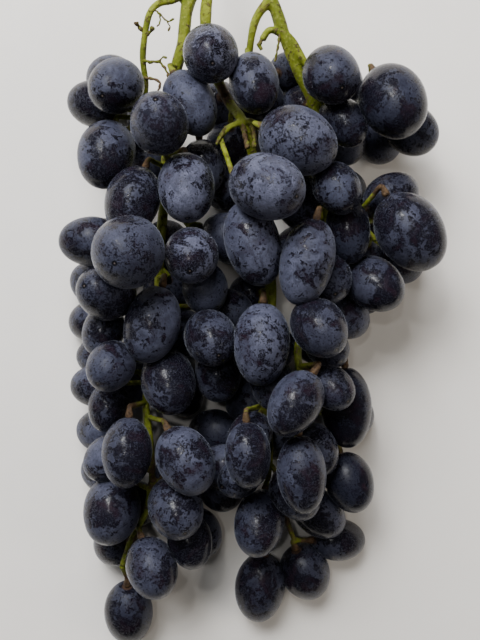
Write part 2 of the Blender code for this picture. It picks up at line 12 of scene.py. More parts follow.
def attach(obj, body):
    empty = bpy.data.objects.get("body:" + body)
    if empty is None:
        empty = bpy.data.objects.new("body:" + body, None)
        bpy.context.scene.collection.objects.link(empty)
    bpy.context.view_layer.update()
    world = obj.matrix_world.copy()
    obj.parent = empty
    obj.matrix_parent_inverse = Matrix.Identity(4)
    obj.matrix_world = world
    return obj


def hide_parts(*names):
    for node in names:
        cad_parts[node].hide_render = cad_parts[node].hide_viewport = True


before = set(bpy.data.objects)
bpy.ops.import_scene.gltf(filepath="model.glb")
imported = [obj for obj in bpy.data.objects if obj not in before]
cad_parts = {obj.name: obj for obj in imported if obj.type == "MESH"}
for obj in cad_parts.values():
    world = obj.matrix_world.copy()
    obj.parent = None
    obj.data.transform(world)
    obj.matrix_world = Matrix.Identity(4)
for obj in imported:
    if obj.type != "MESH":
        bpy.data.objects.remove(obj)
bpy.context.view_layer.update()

# The camera: it looks straight down on the bunch from EYE_HEIGHT above the surface, so that the top
# of the photograph is towards the cut stem. At SIGHT_PLANE above the surface one of its pixels is
# PIXEL_WIDTH wide.
METRE = 0.001
PIXEL_WIDTH = 0.35
SIGHT_PLANE = 35.0
EYE_HEIGHT = 335.0
MIDDLE_COLUMN = 240.0
MIDDLE_ROW = 320.0
BUNCH_MIDDLE = np.array((3.39, 12.74, 0.0))
SENSOR = 36.0


def place(points):
    """Points measured from the one under the eye, in millimetres, as the frame's metres."""
    return (np.asarray(points) - BUNCH_MIDDLE) * METRE


camera = bpy.data.objects.new("camera", bpy.data.cameras.new("camera"))
camera.location = place((0.0, 0.0, EYE_HEIGHT))
camera.data.sensor_width = SENSOR
camera.data.lens = SENSOR / 2 * (EYE_HEIGHT - SIGHT_PLANE) / (MIDDLE_ROW * PIXEL_WIDTH)
camera.data.clip_start = 0.01
bpy.context.scene.collection.objects.link(camera)
bpy.context.scene.camera = camera

# The stem's arms: the peduncle parts into three long arms that run down inside the bunch, and side
# branches leave them. Fresh stems are ribbed and a little uneven, thicker where a branch leaves, and
# yellow-green with rusty flecks. Each arm is a run of points, with the column and row where it is seen
# and its height, and its radius at the first and the last point.
ARMS = {
    "peduncle": ([(210, -96, 30), (214, -68, 31), (220, -38, 33)], 3.1, 3.4),
    "left_arm": (
        [(217, -54, 32), (200, -18, 34), (188, 5, 34), (183, 42, 32), (174, 80, 28), (168, 130, 25),
         (165, 190, 24), (161, 240, 24), (158, 300, 23), (152, 360, 23), (146, 402, 27), (150, 440, 25),
         (152, 480, 22), (146, 512, 20), (131, 540, 20), (122, 566, 19)], 2.6, 1.1),
    "middle_arm": (
        [(218, -48, 32.5), (209, -12, 35), (206, 28, 33), (214, 70, 28), (230, 103, 27), (243, 122, 31),
         (254, 160, 26), (262, 215, 24), (272, 282, 24), (271, 314, 25), (264, 360, 22), (264, 410, 22),
         (270, 442, 23), (268, 482, 18), (266, 520, 15)], 2.3, 1.2),
    "right_arm": (
        [(218, -51, 32), (248, -22, 34), (271, 0, 35), (284, 35, 34), (296, 66, 31), (312, 100, 27),
         (320, 130, 24), (323, 175, 23), (324, 220, 23), (314, 262, 22), (303, 320, 23), (298, 360, 25),
         (312, 402, 25), (300, 437, 23), (288, 482, 20), (286, 515, 18), (294, 540, 15)], 2.6, 1.1),
    "shoulder_branch": (
        [(200, -18, 34), (176, -1, 35), (160, 3, 36), (150, 13, 36), (145, 35, 34), (143, 60, 31),
         (146, 88, 27), (140, 118, 25)], 1.5, 1.1),
    "inner_branch": (
        [(271, 0, 35), (261, 10, 36), (254, 24, 36), (250, 46, 34), (248, 70, 30), (250, 92, 28)],
        1.8, 1.1),
    "outer_prong": ([(284, 35, 34), (294, 44, 34), (306, 64, 33), (322, 80, 30)], 1.7, 1.1),
    "outer_branch": (
        [(312, 100, 27), (338, 112, 25), (362, 114, 24), (384, 108, 24)], 1.5, 1.1),
    "cross_branch": ([(183, 42, 32), (198, 38, 33), (212, 46, 32)], 1.1, 1.0),
    "stub_branch": ([(284, 35, 34), (270, 30, 35), (262, 40, 34)], 1.2, 1.4),
    "fork_left": ([(243, 122, 31), (230, 127, 33), (220, 137, 34)], 1.2, 1.1),
    "fork_right": ([(243, 122, 31), (252, 122, 34), (259, 128, 35)], 1.2, 1.1),
    "right_middle_branch": (
        [(323, 175, 23), (340, 206, 25), (358, 222, 26), (376, 240, 26)], 1.5, 1.1),
    "left_middle_branch": ([(158, 300, 23), (142, 300, 25), (124, 312, 25)], 1.4, 1.1),
    "heart_branch": ([(165, 190, 24), (180, 214, 26), (194, 232, 27)], 1.4, 1.1),
    "waist_branch": ([(272, 282, 24), (254, 318, 27), (238, 344, 28)], 1.4, 1.1),
    "left_tail_branch": ([(152, 480, 22), (168, 492, 22), (184, 500, 21)], 1.3, 1.1),
}
ARM_STEP = 12.0


def seen_at(column, row, height):
    """The place in millimetres of what is seen at this column and row, at this height."""
    scale = PIXEL_WIDTH * (EYE_HEIGHT - height) / (EYE_HEIGHT - SIGHT_PLANE)
    return np.array(((column - MIDDLE_COLUMN) * scale, (MIDDLE_ROW - row) * scale, height)).T


def smooth_run(points, step):
    """Points about a step apart on a smooth curve through the given points."""
    points = np.array(points)
    padded = np.vstack((2 * points[0] - points[1], points, 2 * points[-1] - points[-2]))
    run = [points[0]]
    for k in range(len(points) - 1):
        before, start, end, after = padded[k:k + 4]
        count = max(1, round(np.linalg.norm(end - start) / step))
        for t in (np.arange(count) + 1) / count:
            run.append(0.5 * (2 * start + (end - before) * t
                              + (2 * before - 5 * start + 4 * end - after) * t ** 2
                              + (3 * start - before - 3 * end + after) * t ** 3))
    return np.array(run)


def arm_runs():
    """Each arm's smooth run of points and the radius at each of them."""
    runs = {}
    for name, (points, first, last) in ARMS.items():
        run = smooth_run([seen_at(*point) for point in points], ARM_STEP)
        runs[name] = (run, np.linspace(first, last, len(run)))
    return runs


class Value:
    """One output of a material's nodes, so that its maths is written as plain sums."""

    def __init__(self, finish, socket):
        self.finish = finish
        self.socket = socket

    def maths(self, operation, *values):
        return self.finish.node("ShaderNodeMath", {"operation": operation}, *values)

    def __add__(self, other):
        return self.maths("ADD", self, other)

    def __sub__(self, other):
        return self.maths("SUBTRACT", self, other)

    def __rsub__(self, other):
        return self.maths("SUBTRACT", other, self)

    def __mul__(self, other):
        return self.maths("MULTIPLY", self, other)

    def size(self):
        return self.maths("ABSOLUTE", self)

    def larger(self, other):
        return self.maths("MAXIMUM", self, other)

    def above(self, low, high):
        """0 up to low, 1 from high on, and smooth between."""
        settings = {"interpolation_type": "SMOOTHSTEP"}
        return self.finish.node("ShaderNodeMapRange", settings, self, low, high, 0.0, 1.0)

    __radd__ = __add__
    __rmul__ = __mul__


class Finish:
    """A material round one Principled shader."""

    def __init__(self, name):
        self.material = bpy.data.materials.new(name)
        self.material.use_nodes = True
        self.nodes = self.material.node_tree.nodes
        self.links = self.material.node_tree.links
        self.shader = self.nodes["Principled BSDF"]

    def feed(self, socket, value):
        if isinstance(value, Value):
            self.links.new(value.socket, socket)
        else:
            socket.default_value = value

    def node(self, kind, settings, *values, out=0, **named):
        node = self.nodes.new(kind)
        for name, setting in settings.items():
            setattr(node, name, setting)
        for socket, value in zip(node.inputs, values):
            self.feed(socket, value)
        for name, value in named.items():
            self.feed(node.inputs[name.replace("_", " ")], value)
        return Value(self, node.outputs[out])

    def own(self, name):
        """What the mesh itself holds under this name, a number at each point."""
        return self.node("ShaderNodeAttribute", {"attribute_name": name}, out="Fac")

    def where(self, name):
        """What the mesh itself holds under this name, a vector at each point."""
        return self.node("ShaderNodeAttribute", {"attribute_name": name}, out="Vector")

    def noise(self, where, scale, detail=2.0, roughness=0.5, distortion=0.0):
        return self.node("ShaderNodeTexNoise", {}, Vector=where, Scale=scale, Detail=detail,
                         Roughness=roughness, Distortion=distortion)

    def mix(self, share, first, second):
        """The first colour, and where the share is 1 the second."""
        node = self.nodes.new("ShaderNodeMix")
        node.data_type = "RGBA"
        for number, value in ((0, share), (6, first), (7, second)):
            self.feed(node.inputs[number], value)
        return Value(self, node.outputs[2])

    def bump(self, height, depth):
        return self.node("ShaderNodeBump", {}, Height=height, Distance=depth * METRE, Strength=1.0)

    def finish(self, **named):
        """Set the shader's own sockets and hand over the material."""
        for name, value in named.items():
            self.feed(self.shader.inputs[name.replace("_", " ")], value)
        return self.material


def new_piece(name, mesh, material, slot, *nodes):
    """A piece of the bunch, standing for these nodes of the frame."""
    piece = bpy.data.objects.new(name, mesh)
    bpy.context.scene.collection.objects.link(piece)
    mesh.materials.clear()
    mesh.materials.append(material)
    mesh.shade_smooth()
    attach(piece, "root")
    if nodes:
        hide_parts(*nodes)


def hold(mesh, name, values):
    """Let the mesh hold a number or a vector at each of its points."""
    values = np.asarray(values, dtype=np.float32)
    kind, key = ("FLOAT_VECTOR", "vector") if values.ndim == 2 else ("FLOAT", "value")
    mesh.attributes.new(name, kind, "POINT").data.foreach_set(key, values.ravel())


# A direction that no arm or stalk runs along, which their cross-sections are turned by
SIDEWAYS = (0.3, 0.2, 1.0)


def tube(points, radii, sides, rib=0.0, turn=0.0):
    """A closed tube through the points: its corners and its faces. Ribs run along it."""
    points = np.asarray(points)
    along = np.gradient(points, axis=0)
    along /= np.linalg.norm(along, axis=1)[:, None]
    side = np.cross(along[0], SIDEWAYS)
    angles = np.linspace(0, 2 * math.pi, sides, endpoint=False)
    swell = 1 + rib * np.cos(3 * angles + turn) + rib * 0.6 * np.sin(5 * angles + 2 * turn)
    corners = []
    for k, point in enumerate(points):
        side = side - along[k] * (side @ along[k])
        side /= np.linalg.norm(side)
        other = np.cross(along[k], side)
        ring = np.outer(np.cos(angles), side) + np.outer(np.sin(angles), other)
        corners.append(point + ring * swell[:, None] * radii[k])
    corners = np.vstack(corners)
    faces = []
    for k in range(len(points) - 1):
        for s in range(sides):
            low, high = k * sides, (k + 1) * sides
            after = (s + 1) % sides
            faces.append((low + s, low + after, high + after, high + s))
    faces.append(tuple(range(sides))[::-1])
    faces.append(tuple(range((len(points) - 1) * sides, len(points) * sides)))
    return corners, faces


def grown_together(name, tubes, voxel, smoothing):
    """The tubes remeshed as one skin, so that branches flow into each other as grown wood does."""
    corners, faces = [], []
    start = 0
    for tube_corners, tube_faces in tubes:
        corners.append(tube_corners)
        faces += [tuple(k + start for k in face) for face in tube_faces]
        start += len(tube_corners)
    mesh = bpy.data.meshes.new(name)
    mesh.from_pydata(place(np.vstack(corners)), [], faces)
    shape = bpy.data.objects.new(name, mesh)
    bpy.context.scene.collection.objects.link(shape)
    remesh = shape.modifiers.new("grown", "REMESH")
    remesh.mode = "VOXEL"
    remesh.voxel_size = voxel * METRE
    smooth = shape.modifiers.new("smooth", "SMOOTH")
    smooth.factor = 0.5
    smooth.iterations = smoothing
    bpy.context.view_layer.update()
    evaluated = shape.evaluated_get(bpy.context.evaluated_depsgraph_get())
    grown = bpy.data.meshes.new_from_object(evaluated)
    bpy.data.objects.remove(shape)
    bpy.data.meshes.remove(mesh)
    grown.name = name
    return grown


def points_of(mesh):
    """The mesh's points in millimetres, measured from the point under the eye."""
    spots = np.empty(len(mesh.vertices) * 3)
    mesh.vertices.foreach_get("co", spots)
    return spots.reshape(-1, 3) / METRE + BUNCH_MIDDLE


# The arms' skin: a little slimmer than the runs above, ribbed and uneven, swollen where an arm leaves
# the one before it, and with a collar of old wood round the cut end of the peduncle
ARM_FINE_STEP = 1.0
SKIN_OF_ARMS = 0.92
ARM_SIDES = 20
RIB = 0.05
NODE_SWELLING = 0.22
NODE_LENGTH = 3.5
UNEVEN = 0.06
WAVES = (5.1, 2.3)
WHOLE_TURN = 6.28
ARM_VOXEL = 0.42
COLLAR_STEPS = (0.0, 0.8, 1.6, 2.4)
COLLAR_RADII = (3.3, 3.465, 3.3, 2.8)
ARM_SEED = 11

chance = np.random.default_rng(ARM_SEED)
coarse_runs = arm_runs()
arm_tubes = []
for name, (points, first, last) in ARMS.items():
    run = smooth_run([seen_at(*point) for point in points], ARM_FINE_STEP)
    travelled = np.arange(len(run)) * ARM_FINE_STEP
    radii = np.linspace(first, last, len(run)) * SKIN_OF_ARMS
    if name != "peduncle":
        radii = radii * (1 + NODE_SWELLING * np.exp(-(travelled / NODE_LENGTH) ** 2))
    beat = chance.uniform(0, WHOLE_TURN, 3)
    wave = UNEVEN * np.sin(travelled / WAVES[0] + beat[0]) * np.sin(travelled / WAVES[1] + beat[1])
    arm_tubes.append(tube(run, radii * (1 + wave), ARM_SIDES, RIB, beat[2]))

cut_start, cut_after = coarse_runs["peduncle"][0][:2]
cut_way = (cut_after - cut_start) / np.linalg.norm(cut_after - cut_start)
collar = [cut_start + cut_way * step for step in COLLAR_STEPS]
arm_tubes.append(tube(collar, COLLAR_RADII, ARM_SIDES))
arms_mesh = grown_together("stem_arms", arm_tubes, ARM_VOXEL, 2)


# Stem skin: its greens, and the rust that it browns to. It browns at the cut end and round each of
# these spots, given by row, column, width in pixels and strength. The spot at row 88, column 222 is
# painted shade: it turns the middle arm dark rust brown where it runs through a shaded gap between
# berries.
DARK_GREEN = (0.098, 0.118, 0.008, 1)
FRESH_GREEN = (0.200, 0.222, 0.020, 1)
PALE_GREEN = (0.30, 0.31, 0.07, 1)
DARK_RUST = (0.032, 0.019, 0.012, 1)
PALE_RUST = (0.095, 0.058, 0.030, 1)
CUT_BROWN = 1.2
CUT_BROWN_LENGTH = 3.0
BROWN_AND_SHADE_SPOTS = (
    (300, 148, 30, 0.35), (118, 318, 40, 0.5), (10, 262, 14, 0.45), (430, 290, 40, 0.6),
    (360, 300, 60, 0.25), (480, 150, 60, 0.55), (530, 292, 40, 0.7), (137, 219, 8, 0.7),
    (28, 150, 10, 0.4), (88, 222, 17, 0.95), (96, 304, 14, 0.7), (44, 183, 7, 0.35),
    (5, 146, 9, 0.5), (33, 284, 7, 0.45),
)


def stem_finish(name):
    """Fresh green stem skin: yellow-green with darker and paler runs, rusty flecks, brown where the
    mesh
    says so: real browning, and on the middle arm one spot of dark painted shade."""
    skin = Finish(name)
    where = skin.where("place")
    browning_and_shade = skin.own("browning_and_shade")
    broad = skin.noise(where, 0.10, 3.0)
    fine = skin.noise(where, 0.9, 4.0, 0.65)
    flecks = skin.noise(where, 0.55, 3.0, 0.6, 0.4).above(0.54, 0.64)
    green = skin.mix(broad.above(0.35, 0.65), DARK_GREEN, FRESH_GREEN)
    green = skin.mix(fine.above(0.5, 0.75) * 0.6, green, PALE_GREEN)
    rust = skin.mix(fine.above(0.35, 0.65), DARK_RUST, PALE_RUST)
    # This brown also carries the arms' one spot of painted shade, which comes out dark rust brown
    brown = (browning_and_shade + (broad - 0.5) * 0.8 + (fine - 0.5) * 1.1).above(0.40, 0.74)
    colour = skin.mix((flecks * 0.75).larger(brown), green, rust)
    return skin.finish(
        Base_Color=colour, Roughness=0.42 + fine * 0.25, Normal=skin.bump(fine + flecks * 0.6, 0.32),
        Specular_IOR_Level=0.22)


arms_place = points_of(arms_mesh)
cut_distance = (arms_place - cut_start) @ cut_way
browning_and_shade = np.clip(CUT_BROWN - cut_distance / CUT_BROWN_LENGTH, 0, 1)
# The browning round these spots is real rust, except the spot at row 88, which is painted shade
for row, column, width, strength in BROWN_AND_SHADE_SPOTS:
    spot = seen_at(column, row, SIGHT_PLANE)
    near = np.linalg.norm((arms_place - spot)[:, :2], axis=1) / (width * PIXEL_WIDTH)
    browning_and_shade = np.maximum(browning_and_shade, strength * np.exp(-near ** 2))
hold(arms_mesh, "place", arms_place)
hold(arms_mesh, "browning_and_shade", browning_and_shade)
new_piece("stem_arms", arms_mesh, stem_finish("stem_skin"), "stem", "stem")


# How closely the pieces lie: berries of one group press into each other, all others keep a gap
PRESSED = 1.0
GAP = 0.35
FLATTENED = 0.9
BERRY_FACETS_SWELL = 1.025
NEARLY_TOUCHING = 1.0

# The settling: how many turns there are, and in how many of them the berries sink under their
# weight, the ones in front held up by their stalks, and the ones behind turn their stalk ends to the
# stem. FASTEST is the furthest move in one turn. A seen berry above FRONT_HEIGHT lies in front.
TURNS = 1200
SINKING_TURNS = 500
REGROUPING = 100
REGROUPING_ROUNDS = 20
SINKING = 0.1
LIFTING = 0.012
TURNING = 0.02
FASTEST = 1.0
FRONT_HEIGHT = 30.0

# How readily a berry gives way and how strongly it is drawn to where it is seen: a berry in front,
# another seen one and a hidden one
EASE = (0.3, 0.8, 1.5)
HOLD = (0.25, 0.20, 0.04)

# The share of the way that one turn takes: two berries apart, a berry off an arm or off a stalk, a
# stalk off a berry, a stalk back into line, and a berry back to where it lay. That last pull fades out
# by FADED of the later turns. A berry that holds a group together is pressed in by HELD more.
PARTING = 0.6
OFF_ARMS = 0.7
OFF_STALKS = 0.3
STALK_YIELDING = 0.7
STRAIGHTENING = 0.3
RETURNING = 0.1
FADED = 0.8
HELD = 0.05

# The decimals that each turn keeps, so that the last digits of a sum never change where berries end
ROUNDED_TO = 4

# A berry's stalk: its radius, the flare where it meets the berry, and its straight end
STALK_RADIUS = 0.95
STALK_FLARE = 1.5
STALK_STRAIGHT = 3.0

# The berries that hide behind the others
HIDDEN_WIDTH = 18.0
HIDDEN_LENGTH = 21.5
HIDDEN_SPACING = 17.0
PEEKING = 2.0
HIDDEN_HEIGHTS = (9.0, 25.0)
HIDDEN_TRIES = 3200
HIDDEN_SIZES = (0.95, 1.05)
HIDDEN_ARM_ROOM = 2.0
HIDDEN_DROOP = 0.5
RIM_POINTS = 12
SEED = 7

# The berries by group, each group round its own side branch. A row holds the column and row where the
# berry's middle is seen, its height above the surface (0 where it lies on the surface), its width and
# length, the heading of its far end, in degrees from X to Y, and how far that end lifts towards the
# eye, in degrees.
GROUPS = {
    "left_shoulder": [
        (117, 86, 42, 18.8, 23.0, -120, 55),
        (96, 105, 24, 17.5, 21.0, -150, 10),
        (106, 154, 42, 20.5, 26.0, -101, 25),
        (161, 125, 52, 19.8, 23.5, 95, 62),
        (189, 105, 40, 17.5, 25.0, -62, 10),
        (150, 165, 0, 17.0, 20.5, -100, 0),
    ],
    "middle_shoulder": [
        (214, 55, 46, 19.2, 23.0, -80, 58),
        (251, 81, 40, 17.0, 23.0, -80, 25),
        (268, 95, 25, 17.5, 22.5, -70, 0),
        (285, 79, 0, 15.0, 17.5, 80, 0),
        (216, 105, 0, 17.0, 20.0, -90, 0),
        (300, 106, 0, 16.5, 20.0, -80, 0),
    ],
    "right_shoulder": [
        (395, 102, 45, 22.8, 28.0, -65, 25),
        (404, 129, 25, 18.0, 21.0, -60, 0),
        (373, 142, 0, 17.5, 20.0, -80, 0),
        (350, 138, 27, 17.0, 20.0, -75, 0),
        (343, 125, 43, 15.5, 20.5, -57, 25),
        (331, 73, 45, 19.0, 23.5, -70, 52),
    ],
    "heart": [
        (188, 190, 50, 19.8, 25.5, -86, 28),
        (264, 186, 52, 21.8, 28.0, -27, 45),
        (299, 146, 50, 22.4, 28.0, -28, 22),
        (203, 165, 32, 16.5, 20.0, -80, 0),
        (228, 150, 0, 17.0, 20.0, -110, 0),
        (229, 186, 0, 17.0, 20.0, -90, 0),
        (250, 244, 48, 18.8, 30.0, -74, 5),
        (236, 241, 30, 17.5, 24.0, -70, 0),
        (192, 254, 46, 18.6, 22.5, -90, 58),
        (201, 292, 36, 16.0, 19.5, -85, 25),
    ],
    "left_middle": [
        (138, 205, 43, 18.8, 25.5, -108, 15),
        (91, 241, 31, 17.8, 23.0, 182, 0),
        (130, 275, 52, 24.0, 27.5, -120, 68),
        (113, 292, 30, 18.5, 24.5, -108, 0),
        (152, 329, 46, 19.3, 27.5, -104, 8),
        (90, 292, 0, 15.5, 18.0, 172, 0),
        (92, 322, 0, 15.5, 19.0, -120, 0),
        (112, 332, 32, 15.0, 19.0, -110, 15),
        (112, 366, 42, 16.0, 20.0, -120, 48),
        (96, 351, 21, 14.5, 17.5, 190, 0),
    ],
    "left_waist": [
        (99, 382, 24, 15.5, 20.0, -112, 0),
        (112, 403, 35, 14.5, 18.5, -100, 10),
        (100, 427, 20, 16.5, 20.0, -120, 0),
        (166, 386, 45, 19.0, 24.5, -80, 28),
        (183, 394, 30, 17.0, 24.0, -78, 0),
        (126, 451, 45, 17.4, 24.5, -92, 14),
        (95, 464, 20, 17.0, 20.0, -150, 0),
        (109, 461, 31, 15.5, 18.5, -135, 0),
        (185, 463, 46, 19.4, 25.0, -58, 20),
    ],
    "middle_waist": [
        (212, 341, 48, 18.0, 23.0, -62, 55),
        (218, 374, 35, 16.5, 20.5, -85, 12),
        (226, 312, 26, 16.0, 20.0, -60, 0),
        (243, 300, 0, 16.0, 19.5, -60, 0),
        (213, 428, 0, 17.0, 21.0, -95, 0),
        (237, 405, 0, 16.5, 20.0, -80, 0),
        (267, 354, 48, 19.4, 28.5, -92, 5),
        (267, 382, 24, 16.5, 20.5, -85, 0),
    ],
    "right_middle": [
        (302, 274, 44, 18.0, 29.5, -103, 0),
        (293, 214, 36, 16.0, 22.0, -85, 18),
        (307, 208, 25, 16.5, 21.0, -80, 0),
        (337, 192, 39, 16.0, 20.0, -60, 28),
        (344, 234, 36, 15.6, 23.5, -85, 0),
        (377, 286, 37, 19.0, 24.0, -38, 38),
        (362, 292, 0, 16.0, 19.0, -60, 0),
        (408, 231, 40, 22.6, 30.0, -58, 4),
        (388, 204, 22, 17.0, 21.0, -40, 0),
        (404, 262, 0, 17.0, 20.5, -45, 0),
        (369, 214, 0, 16.5, 20.0, -60, 0),
        (351, 193, 0, 16.5, 20.5, -60, 0),
        (358, 250, 0, 16.5, 20.0, -80, 0),
    ],
    "right_waist": [
        (322, 274, 24, 17.0, 20.5, -70, 0),
        (318, 338, 43, 18.2, 23.0, -55, 38),
        (343, 315, 25, 17.0, 20.5, -60, 0),
        (312, 362, 28, 15.0, 18.0, -70, 0),
        (325, 381, 41, 14.6, 18.5, -40, 45),
        (346, 409, 31, 17.8, 28.5, -88, 0),
        (286, 403, 45, 17.0, 24.0, -123, 15),
        (315, 443, 35, 14.2, 19.5, -69, 5),
        (351, 483, 31, 17.6, 23.0, -72, 0),
    ],
    "left_tail": [
        (116, 514, 34, 20.8, 25.0, -100, 24),
        (177, 507, 35, 19.4, 24.0, -60, 48),
        (200, 530, 0, 16.8, 22.5, -85, 0),
        (184, 532, 20, 16.0, 20.5, -90, 0),
        (153, 562, 25, 17.8, 22.5, -80, 12),
        (141, 568, 0, 17.0, 20.0, -95, 0),
        (123, 525, 0, 17.0, 21.0, -110, 0),
        (125, 619, 0, 18.8, 25.5, -92, 0),
    ],
    "tail": [
        (248, 454, 39, 15.5, 22.5, -88, 4),
        (256, 436, 24, 15.5, 21.0, -80, 0),
        (236, 478, 26, 13.8, 16.5, -90, 0),
        (222, 462, 0, 17.0, 20.0, -80, 0),
        (226, 489, 0, 16.5, 18.0, -80, 0),
        (299, 479, 40, 16.6, 26.5, -86, 4),
        (290, 490, 29, 16.0, 22.0, -88, 0),
        (313, 517, 27, 16.8, 22.0, -75, 0),
        (338, 538, 0, 16.0, 22.0, -70, 0),
        (264, 518, 24, 18.2, 25.5, -94, 0),
        (257, 588, 0, 19.2, 27.5, -90, 0),
        (308, 571, 11, 18.6, 23.0, -62, 8),
    ],
}


def pointing(heading, lift):
    """The unit vector with this heading and lift, both in degrees."""
    turn = math.radians(heading)
    rise = math.radians(lift)
    return np.array((math.cos(rise) * math.cos(turn), math.cos(rise) * math.sin(turn), math.sin(rise)))


class Berries:
    """All berries as arrays: middles, half widths, half lengths, axes to the far end, groups."""

    def __init__(self):
        rows = [(group, row) for group in GROUPS for row in GROUPS[group]]
        self.names = list(GROUPS)
        self.middle = np.array([seen_at(row[0], row[1], row[2] or row[3] / 2) for group, row in rows])
        self.pixel = np.array([row[:2] for group, row in rows])
        self.resting = np.array([row[2] == 0 for group, row in rows])
        self.across = np.array([row[3] / 2 for group, row in rows])
        self.along = np.array([row[4] / 2 for group, row in rows])
        self.axis = np.array([pointing(row[5], row[6]) for group, row in rows])
        self.group = np.array([self.names.index(group) for group, row in rows])
        self.seen = len(rows)

    def add(self, middle, axis, across, along, group, resting):
        self.middle = np.vstack((self.middle, middle))
        self.resting = np.append(self.resting, resting)
        self.axis = np.vstack((self.axis, axis))
        self.across = np.append(self.across, across)
        self.along = np.append(self.along, along)
        self.group = np.append(self.group, group)

    def radius(self, slant):
        """Middle to surface, where slant is the cosine to the axis, berries in the last place."""
        return 1 / np.sqrt((1 - slant ** 2) / self.across ** 2 + slant ** 2 / self.along ** 2)

    def support(self, slant):
        """Middle to the tangent plane square to a direction with this slant."""
        return np.sqrt(self.across ** 2 + (self.along ** 2 - self.across ** 2) * slant ** 2)

    def height_below(self):
        return self.support(self.axis[:, 2])

    def stalk_end(self):
        reach = self.along * BERRY_FACETS_SWELL + GAP
        return self.middle - self.axis * reach[:, None]


def nearest_on_segments(places, starts, ends):
    """For each place and each segment, the share along it and the offset from it to the place."""
    span = ends - starts
    offset = places[:, None] - starts[None]
    share = np.einsum("ijk,jk->ij", offset, span) / np.einsum("jk,jk->j", span, span)
    share = np.clip(share, 0, 1)
    return share, offset - share[..., None] * span[None]


def add_hidden(berries, starts, ends):
    """Fill the room behind the seen berries, by seeded tries. The upper ones hide behind the berries
    in front, and the lowest may peek out a little between the others."""
    chance = np.random.default_rng(SEED)
    low = berries.middle.min(axis=0)
    high = berries.middle.max(axis=0)
    rim = np.linspace(0, 2 * math.pi, RIM_POINTS, endpoint=False)
    in_front = berries.middle[:, 2] > FRONT_HEIGHT
    nearness = EYE_HEIGHT / (EYE_HEIGHT - berries.middle[:, 2])
    covers_at = berries.middle[:, :2] * nearness[:, None]
    lowest_covers = berries.across * nearness + PEEKING
    upper_covers = np.where(in_front, berries.across * nearness, 0)
    for attempt in range(HIDDEN_TRIES):
        place = chance.uniform(low, high)
        level = attempt % len(HIDDEN_HEIGHTS)
        place[2] = HIDDEN_HEIGHTS[level]
        size = chance.uniform(*HIDDEN_SIZES)
        if np.linalg.norm(berries.middle - place, axis=1).min() < HIDDEN_SPACING:
            continue
        share, offset = nearest_on_segments(place[None], starts, ends)
        distance = np.linalg.norm(offset[0], axis=1)
        if distance.min() < HIDDEN_WIDTH / 2 + HIDDEN_ARM_ROOM:
            continue
        toward_eye = EYE_HEIGHT / (EYE_HEIGHT - place[2])
        across = np.stack((np.cos(rim), np.sin(rim)), axis=1) * HIDDEN_WIDTH / 2
        outline = (place[:2] + across) * toward_eye
        apart = np.linalg.norm(outline[:, None] - covers_at[None], axis=2)
        if not (apart < (upper_covers if level else lowest_covers)).any(axis=1).all():
            continue
        away = offset[0, distance.argmin()] / distance.min()
        away = away + (0, -HIDDEN_DROOP, 0)
        if level == 0:
            away[2] = 0
        nearest = np.linalg.norm(berries.middle[:berries.seen] - place, axis=1).argmin()
        berries.add(place, away / np.linalg.norm(away), size * HIDDEN_WIDTH / 2,
                    size * HIDDEN_LENGTH / 2, berries.group[nearest], level == 0)


def between(berries):
    """For each two berries: the direction and distance from the first to the second, the distance at
    which they press into each other, and the one at which they keep a gap."""
    offset = berries.middle[None] - berries.middle[:, None]
    distance = np.linalg.norm(offset, axis=2) + np.eye(len(offset))
    unit = offset / distance[..., None]
    own = np.einsum("ijk,ik->ij", unit, berries.axis)
    other = np.einsum("ijk,jk->ij", unit, berries.axis)
    touching = berries.radius(other) + berries.radius(own.T).T - PRESSED
    apart = (berries.support(other) + berries.support(own.T).T) * BERRY_FACETS_SWELL + GAP
    return unit, distance, touching, apart


def clumps(members, space):
    """The members in clumps whose neighbours nearly touch, the biggest clump first."""
    waiting = set(members)
    found = []
    while waiting:
        clump = [waiting.pop()]
        for k in clump:
            near = [other for other in sorted(waiting) if space[k, other] < NEARLY_TOUCHING]
            clump.extend(near)
            waiting.difference_update(near)
        found.append(clump)
    return sorted(found, key=len, reverse=True)


def regroup(berries):
    """Give each clump that lies away from its group to the group that it lies closest to."""
    unit, distance, touching, apart = between(berries)
    space = distance - touching
    for turn in range(REGROUPING_ROUNDS):
        for number in range(len(berries.names)):
            members = np.flatnonzero(berries.group == number)
            for clump in clumps(members, space)[1:]:
                others = np.setdiff1d(np.arange(len(berries.group)), clump)
                closest = space[np.ix_(clump, others)].min(axis=0).argmin()
                berries.group[clump] = berries.group[others[closest]]


def holding_pairs(berries):
    """The shortest tree of neighbours that holds each group together."""
    unit, distance, touching, apart = between(berries)
    space = distance - touching
    pairs = []
    for number in range(len(berries.names)):
        waiting = list(np.flatnonzero(berries.group == number))
        joined = [waiting.pop(0)]
        while waiting:
            row, column = divmod(space[np.ix_(waiting, joined)].argmin(), len(joined))
            pairs.append((joined[column], waiting[row]))
            joined.append(waiting.pop(row))
    return np.array(pairs).T


def push_berries(berries, ease, pairs):
    """Part the berries that are too close, those with most ease furthest, and draw the pairs that
    hold a group together until they press into each other."""
    unit, distance, touching, apart = between(berries)
    if pairs is None:
        short = touching - distance
    else:
        same = berries.group[:, None] == berries.group[None]
        short = np.where(same, touching, apart) - distance
    pull = np.zeros_like(short)
    if pairs is not None:
        excess = np.maximum(distance - touching + HELD, 0)[pairs[0], pairs[1]]
        pull[pairs[0], pairs[1]] = excess
        pull[pairs[1], pairs[0]] = excess
    np.fill_diagonal(short, 0)
    short = np.maximum(short, 0) - pull
    give = ease[:, None] / (ease[:, None] + ease[None])
    move = -PARTING * np.einsum("ij,ijk->ik", short * give, unit)
    berries.middle += np.clip(move, -FASTEST, FASTEST)


